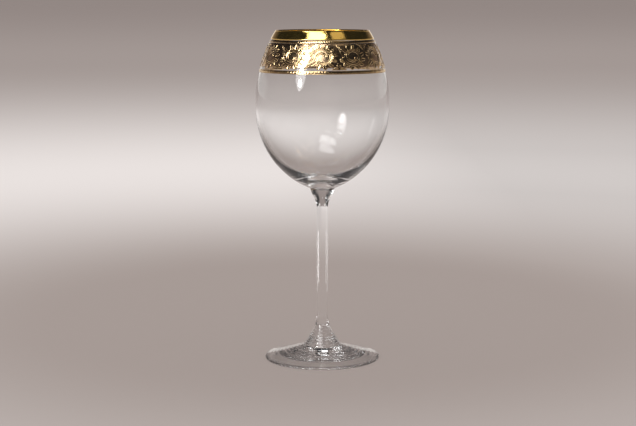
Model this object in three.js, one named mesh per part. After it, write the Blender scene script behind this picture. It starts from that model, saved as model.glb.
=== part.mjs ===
// Red wine glass: an egg-shaped bowl, a drawn stem and a spun foot, fused at two seams,
// with a gilded lip and a band of gilded scrollwork on a satin ground between two bead lines.
// Millimetres, +Z up. The origin is the middle of the standing ring, on the table.

import * as THREE from "three";

// Heights, stacked from the table up
const FOOT_HEIGHT = 23.3; // table to the seam between foot and stem
const STEM_LENGTH = 97.4; // from that seam to the seam under the bowl
const SEAM_TO_BELLY = 56.9; // from the upper seam to the bowl's widest circle
const BELLY_TO_LIP = 52.4; // from the widest circle to the lip

// Bowl
const BELLY_RADIUS = 46.5; // outside, at the widest circle
const LIP_RADIUS = 32.4; // outside, at the lip
const SHOULDER_SWEEP = 42; // degrees of ellipse arc between belly and lip
const BASIN_SWEEP = 70; // degrees of ellipse arc between belly and upper seam
const BELLY_WALL = 1.4; // glass at the widest circle
const LIP_WALL = 1.1; // glass at the lip
const BASIN_GAIN = 3; // how much thicker the wall would be at the upper seam
const BASIN_POWER = 2; // more keeps the wall thin for longer below the belly
const BOTTOM_GLASS = 6; // from the upper seam to the floor of the hollow
const FLOOR_DISH = 20; // how far that floor would rise at the belly's radius
const FLOOR_FILLET = 2; // rounding between the floor and the wall

// Stem
const BOOT_RADIUS = 8.5; // at the upper seam, where the boot carries the bowl
const BOOT_HEIGHT = 14; // from the upper seam down to the straight stem
const STEM_TOP_RADIUS = 3.9; // just under the boot
const STEM_LOW_RADIUS = 3.6; // just above the ankle
const ANKLE_RADIUS = 5; // at the seam with the foot
const ANKLE_HEIGHT = 14; // from that seam up to the straight stem
const BOOT_BEND = { leave: 0.45, over: 0.8, arrive: 0.63 }; // handles of the boot's curve, as shares
const ANKLE_BEND = { leave: 0.5, over: 0.35, arrive: 0.675 }; // handles of the ankle's curve

// Foot
const FOOT_RADIUS = 40.3; // outside
const FOOT_EDGE = 1.7; // thickness of the rounded edge
const CONE_RADIUS = 13.3; // where the cone runs out into the plate
const CONE_BASE = 9.2; // table to that circle
const PLATE_SAG = 0.4; // 0.5 makes the plate straight, less makes it dip between edge and cone
const CONE_WAIST = 0.4; // 0.5 makes the cone straight, less draws it in at half height
const STANDING_RING = 3; // width of the flat ring that the glass stands on
const UNDERSIDE_RISE = 3.4; // hollow under the plate, from the ring to the kick
const UNDERSIDE_FULLNESS = 0.8; // 0.5 makes that hollow straight, more makes it deep near the ring
const KICK_RADIUS = 17.6; // the deeper hollow pushed up under the cone
const KICK_RISE = 1.8; // its depth above the rest of the hollow

// Gilding, stacked from the lip down
const LIP_BAND_DEPTH = 6; // lip to the lower edge of the plain band
const LIP_BAND_INSIDE = 1.2; // how far the plain band turns down inside the lip
const UPPER_LINE_HEIGHT = 1.7; // bead line under the plain band
const SCROLL_BAND_HEIGHT = 17.2; // scrollwork between the bead lines
const LOWER_LINE_HEIGHT = 2.4; // bead line under the scrollwork
const GILT_SPACING = 0.35; // bare glass between one gilded piece and the next
const GILT_CLEARANCE = 0.1; // between the glass and its gilding
const GILT_THICKNESS = 0.15; // plain gilding
const RELIEF = 0.4; // raised gilding, at its crest
const GROUND_THICKNESS = 0.08; // satin ground behind the scrollwork
const GROUND_CLEARANCE = 0.15; // between the satin ground and the scrollwork
const GROUND_MARGIN = 1.6; // bare glass between the satin ground and the scroll band's lower edge

// Scrollwork
const SCROLL_COUNT = 12; // scrolls round the bowl, every other one upside down
const SCROLL_TURNS = 1.5; // from the side of a scroll to its eye
const SPIRAL_EASE = 1.4; // 1 closes in at a steady rate, more keeps the first turn wide
const TAIL_SWEEP = 42; // degrees that the scroll's tail takes before the first turn
const TAIL_REACH = 5.4; // how far the tail strays from the spiral
const TAIL_LEAF = 2.4; // the last lobe of the tail
const STRAND_WIDTH = 1.9; // the scroll's strand without its leaves
const STRAND_TIP = 0.6; // a strand or sprig at its end
const STRAND_TAPER = 0.12; // share of the strand in which its tail grows to full width
const LEAF_LENGTH = 2.3; // the first lobe of the spiral
const LEAVES_PER_TURN = 12; // lobes in one turn
const LEAF_SLANT = 1.5; // 1 makes a lobe even, more sweeps its tip forward
const LEAF_FULLNESS = 0.5; // 1 makes a lobe a sine, less makes it squarer
const EYE_RADIUS = 1.6; // middle of the strand at the spiral's inner end
const SPRIG_HEIGHT = 7; // leaf sprig between two scrolls
const SPRIG_HALF_WIDTH = 6; // the sprig at its foot
const SPRIG_TAPER = 2.2; // 1 draws the sprig in steadily, more draws it in faster
const SPRIG_LOBES = 5; // lobes on each side
const SPRIG_NOTCH = 0.3; // depth of the notches between them, as a share of the width
const CREST_SHARE = 0.45; // flat top of a raised strand, as a share of its width

// Fineness of the facets
const BOWL_SIDES = 48;
const STEM_SIDES = 32;
const ARC_STEPS = 9;
const LIP_STEPS = 4;
const BEND_STEPS = 5;
const FLOOR_STEPS = 3;
const GILT_STEPS = 3;
const LEAF_STEPS = 4;
const SCROLL_BACK_STEPS = 1;
const SPRIG_STEPS = 15;
const SPRIG_BACK_STEPS = 4;

const STEM_SEAM = FOOT_HEIGHT;
const BOWL_SEAM = STEM_SEAM + STEM_LENGTH;
const BELLY = BOWL_SEAM + SEAM_TO_BELLY;
const LIP = BELLY + BELLY_TO_LIP;
const SHOULDER_SPAN = BELLY_TO_LIP - LIP_WALL / 2;
const SHOULDER_ARC = THREE.MathUtils.degToRad(SHOULDER_SWEEP);
const BASIN_ARC = THREE.MathUtils.degToRad(BASIN_SWEEP);

const point = (radius, height) => new THREE.Vector2(radius, height);

// Even steps from 0 to 1, both ends included
const shares = (steps) => Array.from({ length: steps + 1 }, (_, i) => i / steps);

// Radius on an ellipse arc that leaves the belly upright and closes in to endRadius
function swellRadius(bellyRadius, endRadius, sweep, angle) {
  const share = (Math.cos(angle) - Math.cos(sweep)) / (1 - Math.cos(sweep));
  return endRadius + (bellyRadius - endRadius) * share;
}

// The same arc as points, rising by span if it is positive and falling if it is negative
function swell(bellyRadius, endRadius, span, sweep) {
  return shares(ARC_STEPS).map((share) => {
    const angle = share * sweep;
    const height = BELLY + (span * Math.sin(angle)) / Math.sin(sweep);
    return point(swellRadius(bellyRadius, endRadius, sweep, angle), height);
  });
}

// The bowl's outer skin at one height
function skinAt(height) {
  const above = height >= BELLY;
  const span = above ? SHOULDER_SPAN : -SEAM_TO_BELLY;
  const sweep = above ? SHOULDER_ARC : BASIN_ARC;
  const endRadius = above ? LIP_RADIUS : BOOT_RADIUS;
  const angle = Math.asin(Math.min(1, ((height - BELLY) / span) * Math.sin(sweep)));
  return point(swellRadius(BELLY_RADIUS, endRadius, sweep, angle), height);
}

// Points of the outer skin from one height up to another
function skinBetween(low, high, steps) {
  return shares(steps).map((share) => skinAt(low + (high - low) * share));
}

// The half-round lip, from its outer side over to its inner side
function lipRound() {
  const half = LIP_WALL / 2;
  const middle = point(LIP_RADIUS - half, LIP - half);
  return shares(LIP_STEPS).map((share) => {
    const angle = share * Math.PI;
    return point(middle.x + half * Math.cos(angle), middle.y + half * Math.sin(angle));
  });
}

// A path moved sideways, to the right of its own direction, by one distance for each point
function offset(path, distances) {
  return path.map((here, i) => {
    const before = path[Math.max(0, i - 1)];
    const after = path[Math.min(path.length - 1, i + 1)];
    const ahead = after.clone().sub(before).normalize();
    return point(here.x + ahead.y * distances[i], here.y - ahead.x * distances[i]);
  });
}

// A curve that leaves upright at one point and bends over to another. The first handle stands
// straight above or below the start, the second lies a share of the way over and up.
function bend(from, to, handles) {
  const reach = to.clone().sub(from);
  const first = point(from.x, from.y + reach.y * handles.leave);
  const second = point(from.x + reach.x * handles.over, from.y + reach.y * handles.arrive);
  return new THREE.CubicBezierCurve(from, first, second, to).getPoints(BEND_STEPS);
}

// A profile of radius and height turned about the upright axis
function turned(profile, sides) {
  return new THREE.LatheGeometry(profile, sides).rotateX(Math.PI / 2);
}

const clearGlass = () =>
  new THREE.MeshStandardMaterial({ color: 0xe6eaea, roughness: 0.04, transparent: true, opacity: 0.35 });

const firedGold = () => new THREE.MeshStandardMaterial({ color: 0xc9992f, roughness: 0.2, metalness: 1 });

const mattGold = () => new THREE.MeshStandardMaterial({ color: 0x7a5430, roughness: 0.5, metalness: 1 });

function named(name, geometry, material) {
  const mesh = new THREE.Mesh(geometry, material);
  mesh.name = name;
  return mesh;
}

// The hollow below the belly: the wall follows the outer skin and thickens downwards, and runs
// out into a dished floor. Their heights are joined by a soft maximum, rounded by the fillet.
function hollow(innerBelly) {
  const skin = swell(BELLY_RADIUS, BOOT_RADIUS, -SEAM_TO_BELLY, BASIN_ARC);
  const depths = skin.map((here) => (BELLY - here.y) / SEAM_TO_BELLY);
  const wall = offset(skin, depths.map((depth) => BELLY_WALL + BASIN_GAIN * depth ** BASIN_POWER));
  const deepest = wall[wall.length - 1];
  const middle = shares(FLOOR_STEPS).map((share) => point(deepest.x * (1 - share), deepest.y));
  return [...wall, ...middle.slice(1)].map((here) => {
    const floor = BOWL_SEAM + BOTTOM_GLASS + FLOOR_DISH * (here.x / innerBelly) ** 2;
    const height = (here.y + floor + Math.hypot(here.y - floor, FLOOR_FILLET)) / 2;
    return point(here.x, height);
  });
}

function bowl() {
  const innerBelly = BELLY_RADIUS - BELLY_WALL;
  const profile = [
    point(0, BOWL_SEAM),
    ...swell(BELLY_RADIUS, BOOT_RADIUS, -SEAM_TO_BELLY, BASIN_ARC).reverse(),
    ...swell(BELLY_RADIUS, LIP_RADIUS, SHOULDER_SPAN, SHOULDER_ARC).slice(1),
    ...lipRound().slice(1, -1),
    ...swell(innerBelly, LIP_RADIUS - LIP_WALL, SHOULDER_SPAN, SHOULDER_ARC).reverse(),
    ...hollow(innerBelly).slice(1),
  ];
  return named("bowl", turned(profile, BOWL_SIDES), clearGlass());
}

function stem() {
  const ankleTop = point(STEM_LOW_RADIUS, STEM_SEAM + ANKLE_HEIGHT);
  const bootFoot = point(STEM_TOP_RADIUS, BOWL_SEAM - BOOT_HEIGHT);
  const profile = [
    point(0, STEM_SEAM),
    ...bend(ankleTop, point(ANKLE_RADIUS, STEM_SEAM), ANKLE_BEND).reverse(),
    ...bend(bootFoot, point(BOOT_RADIUS, BOWL_SEAM), BOOT_BEND),
    point(0, BOWL_SEAM),
  ];
  return named("stem", turned(profile, STEM_SIDES), clearGlass());
}

function foot() {
  const half = FOOT_EDGE / 2;
  const edgeMiddle = FOOT_RADIUS - half;
  const ringInside = edgeMiddle - STANDING_RING;
  const kickTop = point(0, UNDERSIDE_RISE + KICK_RISE);
  const kickSide = point(KICK_RADIUS, UNDERSIDE_RISE);
  const kick = new THREE.QuadraticBezierCurve(kickTop, point(KICK_RADIUS / 2, kickTop.y), kickSide);
  const arch = point((KICK_RADIUS + ringInside) / 2, UNDERSIDE_RISE * UNDERSIDE_FULLNESS);
  const underside = new THREE.QuadraticBezierCurve(kickSide, arch, point(ringInside, 0));
  const edge = shares(BEND_STEPS).map((share) => {
    const angle = (share - 0.5) * Math.PI;
    return point(edgeMiddle + half * Math.cos(angle), half + half * Math.sin(angle));
  });
  const coneBase = point(CONE_RADIUS, CONE_BASE);
  const sag = point((edgeMiddle + CONE_RADIUS) / 2, FOOT_EDGE + (CONE_BASE - FOOT_EDGE) * PLATE_SAG);
  const plate = new THREE.QuadraticBezierCurve(point(edgeMiddle, FOOT_EDGE), sag, coneBase);
  const coneTop = point(ANKLE_RADIUS, STEM_SEAM);
  const waistRadius = ANKLE_RADIUS + (CONE_RADIUS - ANKLE_RADIUS) * CONE_WAIST;
  const waist = point(waistRadius, (CONE_BASE + STEM_SEAM) / 2);
  const cone = new THREE.QuadraticBezierCurve(coneBase, waist, coneTop);
  const profile = [
    ...kick.getPoints(BEND_STEPS),
    ...underside.getPoints(BEND_STEPS).slice(1),
    ...edge,
    ...plate.getPoints(BEND_STEPS).slice(1),
    ...cone.getPoints(BEND_STEPS).slice(1),
    point(0, STEM_SEAM),
  ];
  return named("foot", turned(profile, BOWL_SIDES), clearGlass());
}

// A skin of gilding along a path, with one thickness for each point
function gilding(path, thicknesses) {
  const near = offset(path, path.map(() => GILT_CLEARANCE));
  const far = offset(path, thicknesses.map((thickness) => GILT_CLEARANCE + thickness));
  return turned([...near, ...far.reverse(), near[0]].reverse(), BOWL_SIDES);
}

function lipBand() {
  const skin = skinBetween(LIP - LIP_BAND_DEPTH, LIP - LIP_WALL / 2, GILT_STEPS);
  const round = lipRound();
  const innerSide = round[round.length - 1];
  const path = [...skin, ...round.slice(1), point(innerSide.x, innerSide.y - LIP_BAND_INSIDE)];
  return named("lip_band", gilding(path, path.map(() => GILT_THICKNESS)), firedGold());
}

// A raised line round the bowl, crowned across its height
function beadLine(name, top, height) {
  const path = skinBetween(top - height, top, GILT_STEPS);
  const crown = shares(path.length - 1).map((share) => Math.sin(share * Math.PI));
  const thicknesses = crown.map((share) => GILT_THICKNESS + (RELIEF - GILT_THICKNESS) * share);
  return named(name, gilding(path, thicknesses), firedGold());
}

const UPPER_LINE_TOP = LIP - LIP_BAND_DEPTH - GILT_SPACING;
const SCROLL_TOP = UPPER_LINE_TOP - UPPER_LINE_HEIGHT - GILT_SPACING;
const SCROLL_MIDDLE = SCROLL_TOP - SCROLL_BAND_HEIGHT / 2;
const LOWER_LINE_TOP = SCROLL_TOP - SCROLL_BAND_HEIGHT - GILT_SPACING;
const FULL_TURN = 2 * Math.PI;
const PITCH_ANGLE = FULL_TURN / SCROLL_COUNT;

// The thin satin ground, from the top of the scroll band down to a strip of bare glass
function groundBand() {
  const path = skinBetween(SCROLL_TOP - SCROLL_BAND_HEIGHT + GROUND_MARGIN, SCROLL_TOP, GILT_STEPS);
  return named("ground_band", gilding(path, path.map(() => GROUND_THICKNESS)), mattGold());
}

// The scroll band laid flat: "along" runs round the bowl and "up" runs up its skin,
// both from the middle of one scroll, and "out" leaves the glass
const BAND_RADIUS = skinAt(SCROLL_MIDDLE).x;
const BAND_LENGTH = skinAt(SCROLL_TOP).distanceTo(skinAt(SCROLL_TOP - SCROLL_BAND_HEIGHT));
const PITCH = PITCH_ANGLE * BAND_RADIUS;
const SCROLL_REACH = BAND_LENGTH / 2;
const SCROLL_STRETCH = (PITCH - GILT_SPACING) / BAND_LENGTH;
const SCROLL_BACK = GILT_CLEARANCE + GROUND_THICKNESS + GROUND_CLEARANCE; // from the glass

function onSkin(along, up, out) {
  const height = SCROLL_MIDDLE + (up * SCROLL_BAND_HEIGHT) / BAND_LENGTH;
  const [below, here, above] = skinBetween(height - GILT_SPACING, height + GILT_SPACING, 2);
  const lean = above.sub(below).normalize();
  const radius = here.x + lean.y * out;
  const angle = along / BAND_RADIUS - Math.PI / 2;
  return [radius * Math.cos(angle), radius * Math.sin(angle), height - lean.x * out];
}

// A closed raised strip: a flat-topped section carried along a path in the flat band, with its
// own width to the left and right of each point. Its back follows the skin in backSteps across.
// Side -1 turns it upside down.
function strip(path, leftWidth, rightWidth, steps, backSteps, side) {
  const vertices = [];
  const faces = [];
  const face = (a, b, c) => {
    faces.push(...(side > 0 ? [a, c, b] : [a, b, c]));
  };
  for (const share of shares(steps)) {
    const here = path(share);
    const ahead = path(share + 0.5 / steps).sub(path(share - 0.5 / steps)).normalize();
    const left = leftWidth(share);
    const right = -rightWidth(share);
    const back = shares(backSteps).map((part) => [right + (left - right) * part, 0]);
    const crest = [left, right].map((edge) => [edge * CREST_SHARE, RELIEF]);
    for (const [across, out] of [...crest, ...back]) {
      const along = here.x - ahead.y * across;
      const up = here.y + ahead.x * across;
      vertices.push(...onSkin(along, side * up, SCROLL_BACK + out));
    }
  }
  const ring = backSteps + 3;
  const last = ring * steps;
  for (let k = 0; k < ring; k += 1) {
    const next = (k + 1) % ring;
    for (let i = 0; i < last; i += ring) {
      face(i + k, i + ring + k, i + ring + next);
      face(i + k, i + ring + next, i + next);
    }
    if (k > 0 && next > 0) {
      face(0, k, next);
      face(last, last + next, last + k);
    }
  }
  const geometry = new THREE.BufferGeometry();
  geometry.setAttribute("position", new THREE.Float32BufferAttribute(vertices, 3));
  geometry.setIndex(faces);
  return geometry;
}

// A scroll: a tail from the band's lower corner that winds clockwise into a spiral, with leaf
// lobes that fill the room outside its strand and a round eye at its inner end
function scroll(side) {
  const half = STRAND_WIDTH / 2;
  const tip = STRAND_TIP / 2;
  const tail = THREE.MathUtils.degToRad(TAIL_SWEEP);
  const winding = FULL_TURN * SCROLL_TURNS;
  const first = SCROLL_REACH - half - LEAF_LENGTH;
  const angleAt = (share) => share * (tail + winding) - tail;
  const radiusAt = (angle) => {
    const shrink = Math.max(0, angle / winding) ** SPIRAL_EASE;
    const stray = Math.max(0, -angle / tail) ** 2;
    return first + (EYE_RADIUS - first) * shrink + TAIL_REACH * stray;
  };
  const path = (share) => {
    const angle = angleAt(share);
    const radius = radiusAt(angle);
    return point(-SCROLL_STRETCH * radius * Math.cos(angle), radius * Math.sin(angle));
  };
  const strand = (share) => tip + (half - tip) * Math.min(1, share / STRAND_TAPER);
  // How far a lobe may reach past the strand: to the rim of the scroll's cell or to the turn outside it
  const room = (angle) => {
    if (angle < 0) return (-TAIL_LEAF * angle) / tail;
    const inCell = angle < FULL_TURN - tail;
    const limit = inCell ? SCROLL_REACH : radiusAt(angle - FULL_TURN) - half - GILT_SPACING;
    return Math.max(0, limit - radiusAt(angle) - half);
  };
  const leaf = (share) => {
    const angle = angleAt(share);
    const phase = THREE.MathUtils.euclideanModulo((LEAVES_PER_TURN * angle) / FULL_TURN, 1);
    return room(angle) * Math.max(0, Math.sin(Math.PI * phase ** LEAF_SLANT)) ** LEAF_FULLNESS;
  };
  const steps = Math.round(((tail + winding) * LEAVES_PER_TURN * LEAF_STEPS) / FULL_TURN);
  return strip(path, (share) => strand(share) + leaf(share), strand, steps, SCROLL_BACK_STEPS, side);
}

// A sprig: one lobed leaf that stands on the band's lower edge
function sprig(side) {
  const tip = STRAND_TIP / 2;
  const path = (share) => point(0, SPRIG_HEIGHT * share - SCROLL_REACH);
  const width = (share) => {
    const notched = SPRIG_NOTCH * (1 - Math.abs(Math.sin(Math.PI * SPRIG_LOBES * share)));
    return tip + SPRIG_HALF_WIDTH * Math.max(0, 1 - share) ** SPRIG_TAPER * (1 - notched);
  };
  return strip(path, width, width, SPRIG_STEPS, SPRIG_BACK_STEPS, side);
}

// Scrolls and sprigs round the bowl, every other pair upside down
function scrollwork() {
  const band = new THREE.Group();
  for (let i = 0; i < SCROLL_COUNT; i += 1) {
    const number = String(i + 1).padStart(2, "0");
    const side = i % 2 === 0 ? 1 : -1;
    const curl = named(`scroll_${number}`, scroll(side), firedGold());
    curl.rotation.z = i * PITCH_ANGLE;
    const leaf = named(`sprig_${number}`, sprig(side), firedGold());
    leaf.rotation.z = (i + 0.5) * PITCH_ANGLE;
    band.add(curl, leaf);
  }
  return band;
}

const glass = new THREE.Group();
glass.name = "red_wine_glass";
glass.add(bowl(), stem(), foot(), lipBand());
glass.add(beadLine("upper_bead_line", UPPER_LINE_TOP, UPPER_LINE_HEIGHT));
glass.add(beadLine("lower_bead_line", LOWER_LINE_TOP, LOWER_LINE_HEIGHT));
glass.add(groundBand(), scrollwork());

export default glass;
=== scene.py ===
"""Red wine glass with a gilded lip and a band of gilded scrollwork, in metres, +Z up."""

import math

import bpy
import numpy as np
from bpy.props import FloatProperty, FloatVectorProperty, IntProperty, PointerProperty
from bpy.types import Operator, Panel, PropertyGroup
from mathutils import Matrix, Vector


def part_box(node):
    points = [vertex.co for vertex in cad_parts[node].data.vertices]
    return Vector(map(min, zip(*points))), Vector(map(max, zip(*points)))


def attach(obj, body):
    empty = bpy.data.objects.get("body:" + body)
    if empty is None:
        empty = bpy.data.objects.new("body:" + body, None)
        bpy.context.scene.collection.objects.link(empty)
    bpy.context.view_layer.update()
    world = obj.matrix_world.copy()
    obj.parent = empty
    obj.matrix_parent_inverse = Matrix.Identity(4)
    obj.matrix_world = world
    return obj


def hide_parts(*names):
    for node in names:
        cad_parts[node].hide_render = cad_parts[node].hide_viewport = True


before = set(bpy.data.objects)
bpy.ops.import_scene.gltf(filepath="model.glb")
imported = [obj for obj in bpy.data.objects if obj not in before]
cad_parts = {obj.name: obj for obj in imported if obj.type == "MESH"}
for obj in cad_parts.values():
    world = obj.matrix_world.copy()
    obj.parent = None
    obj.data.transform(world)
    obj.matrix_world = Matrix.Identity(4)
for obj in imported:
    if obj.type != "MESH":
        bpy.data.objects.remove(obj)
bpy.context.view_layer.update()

TOUCHING = 1e-6
SHARP_EDGE = math.radians(50)

bl_info = {
    "name": "Gilded wine glass",
    "version": (1, 0, 0),
    "blender": (4, 5, 0),
    "location": "View3D > Sidebar > Wine glass",
    "description": "Builds a red wine glass with fired gold scrollwork and its studio stage",
    "category": "Add Mesh",
}

# Sizes


def size(name, millimetres, description):
    """A length that is written in millimetres and kept in metres."""
    return FloatProperty(
        name=name,
        description=description,
        default=millimetres / 1000,
        min=0.0,
        precision=5,
        unit="LENGTH",
        subtype="DISTANCE",
    )


def share(name, value, description):
    """A plain number, such as a share or a power."""
    return FloatProperty(name=name, description=description, default=value, min=0.0)


def turn(name, degrees, description):
    """An angle that is written in degrees and kept in radians."""
    return FloatProperty(
        name=name, description=description, default=math.radians(degrees), subtype="ANGLE", unit="ROTATION"
    )


def count(name, value, description):
    """A whole number of repeats or facets."""
    return IntProperty(name=name, description=description, default=value, min=1)


def tone(name, value, description):
    """A linear colour."""
    return FloatVectorProperty(
        name=name, description=description, default=value, size=3, min=0.0, max=1.0, subtype="COLOR"
    )


def node_top(name):
    """Height of the top of a part of the frame, in millimetres."""
    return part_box(name)[1].z * 1000


class BowlSizes(PropertyGroup):
    """Sizes of the blown bowl."""

    seam: size("Upper seam", node_top("stem"), "Height of the seam between stem and bowl")
    belly: size("Belly", 177.6, "Height of the widest circle")
    lip: size("Lip", node_top("bowl"), "Height of the lip")
    belly_radius: size("Belly radius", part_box("bowl")[1].x * 1000, "Outside, at the widest circle")
    lip_radius: size("Lip radius", 32.4, "Outside, at the lip")
    shoulder_sweep: turn("Shoulder sweep", 42, "Ellipse arc between belly and lip")
    basin_sweep: turn("Basin sweep", 70, "Ellipse arc between belly and upper seam")
    belly_wall: size("Belly wall", 1.4, "Glass at the widest circle")
    lip_wall: size("Lip wall", 1.1, "Glass at the lip")
    bottom_glass: size("Bottom glass", 6, "From the upper seam to the floor of the hollow")
    floor_dish: size("Floor dish", 20, "How far that floor would rise at the belly's radius")
    floor_fillet: size("Floor fillet", 2, "Rounding between the floor and the wall")
    basin_gain: size("Basin gain", 3, "How much thicker the wall would be at the upper seam")
    basin_power: share("Basin power", 2, "More keeps the wall thin for longer")
    sides: count("Sides", 192, "Facets round the bowl")


class StemSizes(PropertyGroup):
    """Sizes of the drawn stem."""

    seam: size("Lower seam", node_top("foot"), "Height of the seam between foot and stem")
    boot_radius: size("Boot radius", 8.5, "At the upper seam")
    boot_height: size("Boot height", 14, "From the upper seam down to the straight stem")
    top_radius: size("Top radius", 3.9, "Just under the boot")
    low_radius: size("Low radius", 3.6, "Just above the ankle")
    ankle_radius: size("Ankle radius", 5, "At the lower seam")
    ankle_height: size("Ankle height", 14, "From the lower seam up to the straight stem")
    seam_ridge: size("Seam ridge", 0.12, "Height of the soft ridge left by fusing")
    seam_spread: size("Seam spread", 0.5, "How far the ridge spreads up and down")
    sides: count("Sides", 96, "Facets round the stem")


class FootSizes(PropertyGroup):
    """Sizes of the spun foot."""

    radius: size("Radius", 40.3, "Outside")
    edge: size("Edge", 1.7, "Thickness of the rounded edge")
    cone_radius: size("Cone radius", 13.3, "Where the cone runs out into the plate")
    cone_base: size("Cone base", 9.2, "Height of that circle")
    standing_ring: size("Standing ring", 3, "Width of the flat ring underneath")
    underside_rise: size("Underside rise", 3.4, "Hollow under the plate")
    kick_radius: size("Kick radius", 17.6, "Deeper hollow under the cone")
    kick_rise: size("Kick rise", 1.8, "Its depth above the rest of the hollow")
    groove: size("Groove", 0.8, "Depth of the soft groove inside the standing ring")
    groove_radius: size("Groove radius", 30.5, "Where it is deepest")
    groove_spread: size("Groove spread", 2.1, "How far it spreads in and out")
    hollow_fullness: share("Hollow fullness", 0.8, "More keeps the hollow deep out to the ring")
    plate_sag: share("Plate sag", 0.4, "How much the plate dips between edge and cone")
    cone_waist: share("Cone waist", 0.4, "How much the cone draws in at half height")
    spin_depth: size("Spin depth", 0.12, "Depth of the rings left by spinning")
    spin_pitch: size("Spin pitch", 2.6, "From one ring to the next")


class GildingSizes(PropertyGroup):
    """Sizes of the gilded lip, the two raised lines and the satin ground."""

    band_depth: size("Band depth", 6, "Lip to the lower edge of the plain band")
    band_inside: size("Band inside", 1.2, "How far the band turns down inside the lip")
    upper_line: size("Upper line", 1.7, "Height of the rope line under the plain band")
    scroll_band: size("Scroll band", 17.2, "Height of the scrollwork")
    lower_line: size("Lower line", 2.4, "Height of the bead line under the scrollwork")
    ground_margin: size("Ground margin", 1.6, "Bare glass between the satin ground and the band's lower edge")
    ground_film: size("Ground film", 0.06, "Height of the satin ground over the glass")
    ground_bite: size("Ground bite", 0.03, "How deep the satin ground sits in the glass")
    spacing: size("Spacing", 0.35, "Bare glass between one gilded piece and the next")
    film: size("Film", 0.25, "Height of plain gilding over the glass")
    relief: size("Relief", 0.3, "Height of the rope and bead lines over the glass")
    scroll_relief: size("Scroll relief", 0.3, "Height of scrolls and sprigs over the glass")
    bite: size("Bite", 0.02, "How deep the gilding sits in the glass")
    rope_strands: count("Rope strands", 132, "Strands round the rope line")
    beads: count("Beads", 120, "Beads round the lower line")


class ScrollSizes(PropertyGroup):
    """Sizes of the scrolls and sprigs."""

    scrolls: count("Scrolls", 12, "Scrolls round the bowl, every other one upside down")
    turns: share("Turns", 1.5, "From the side of a scroll to its eye")
    ease: share("Ease", 1.4, "More keeps the first turn wide")
    tail_sweep: turn("Tail sweep", 42, "Angle that the tail takes before the first turn")
    tail_reach: size("Tail reach", 5.4, "How far the tail strays from the spiral")
    strand: size("Strand", 1.9, "Width of a strand")
    tip: size("Tip", 0.6, "Width of a strand or sprig at its end")
    taper: share("Taper", 0.12, "Share of the strand in which its tail grows to full width")
    leaf: size("Leaf", 2.3, "Length of the first lobe of the spiral")
    tail_leaf: size("Tail leaf", 2.4, "Length of the last lobe of the tail")
    leaves: count("Leaves", 12, "Lobes in one turn")
    slant: share("Slant", 1.5, "More sweeps a lobe's tip forward")
    fullness: share("Fullness", 0.5, "Less makes a lobe squarer")
    eye: size("Eye", 1.6, "Middle of the strand at the inner end")
    sprig_height: size("Sprig height", 7, "Leaf sprig between two scrolls")
    sprig_width: size("Sprig width", 6, "Half of the sprig at its foot")
    sprig_taper: share("Sprig taper", 2.2, "More draws the sprig in faster")
    sprig_lobes: count("Sprig lobes", 5, "Lobes on each side")
    sprig_notch: share("Sprig notch", 0.3, "Depth of the notches, as a share of the width")
    bevel: size("Bevel", 0.4, "Rounded border of raised gilding")
    vein: share("Vein", 0.8, "Depth of the veins, as a share of the relief")
    grid: size("Grid", 0.2, "Step of the mesh")


class StageSettings(PropertyGroup):
    """Camera, lamps, floor and the tones of the gilding."""

    lens: FloatProperty(
        name="Lens", description="Focal length in mm", default=84.34, subtype="DISTANCE_CAMERA"
    )
    distance: size("Camera distance", 1033, "From the axis of the glass, along -Y")
    height: size("Camera height", 250, "Above the floor")
    aside: size("Camera aside", 3, "To the left of the axis")
    pitch: turn("Camera pitch", 8.1, "Downwards")
    reach: size("Floor radius", 90000, "Radius of the floor")
    # Painted light: these floor tones paint a pool of light, dimmer round the foot, brightest in a ring, then
    # falling off to the horizon.
    near_tone: tone("Near tone", (0.386, 0.328, 0.305), "Floor round the foot")
    painted_pool_tone: tone("Bright tone", (0.815, 0.760, 0.738), "Lit ring of the floor")
    middle_tone: tone("Middle tone", (0.365, 0.314, 0.296), "Floor between the lit ring and the horizon")
    far_tone: tone("Far tone", (0.290, 0.245, 0.230), "Floor far away and horizon")
    ceiling_tone: tone("Ceiling tone", (0.020, 0.022, 0.025), "Unlit room over the stage")
    back_tone: tone("Back tone", (0.290, 0.245, 0.230), "Strips of wall seen through the glass")
    board_tone: tone("Board tone", (0.90, 0.86, 0.82), "Low board behind the glass, seen in reflections")
    board_top: share("Board top", 0.12, "Sine of the elevation to which the board stands")
    pool_shift: size("Pool shift", 150, "How far behind the glass the floor's tones are centred")
    fill: share("Fill", 1.0, "Even light on dull surfaces")
    lamp_distance: size("Lamp distance", 1400, "From the bowl to the softboxes")
    lamp_aim: size("Lamp aim", 190, "Height at which they are aimed")
    card_place: size("Card place", 280, "From the axis of the glass to the bright cards at its sides")
    card_depth: size("Card depth", 100, "Length of a card along Y")
    card_height: size("Card height", 46.2, "Height of a card along its slope")
    card_lean: turn("Card lean", 13, "How far a card leans back")
    card_spread: turn("Card spread", 22, "Angle to which its grid keeps the light")
    gold: tone("Gold", (0.93, 0.63, 0.18), "Polished gold of the lip")
    dull_gold: tone("Dull gold", (0.74, 0.45, 0.13), "Worn gold of the lip")
    pale_gold: tone("Pale gold", (0.80, 0.59, 0.30), "Crests of the scrollwork")
    brown_gold: tone("Brown gold", (0.42, 0.27, 0.16), "Worn scrollwork")
    amber: tone("Amber", (0.95, 0.52, 0.08), "Gilding inside the lip")
    burnt_gold: tone("Burnt gold", (0.14, 0.10, 0.07), "Back of the gilding, seen through the glass")
    satin_tone: tone("Satin tone", (0.60, 0.42, 0.26), "Satin ground behind the scrollwork")


class WineGlass(PropertyGroup):
    """Every size and tone of the glass and its stage."""

    bowl: PointerProperty(type=BowlSizes)
    stem: PointerProperty(type=StemSizes)
    foot: PointerProperty(type=FootSizes)
    gilding: PointerProperty(type=GildingSizes)
    scrolls: PointerProperty(type=ScrollSizes)
    stage: PointerProperty(type=StageSettings)


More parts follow.
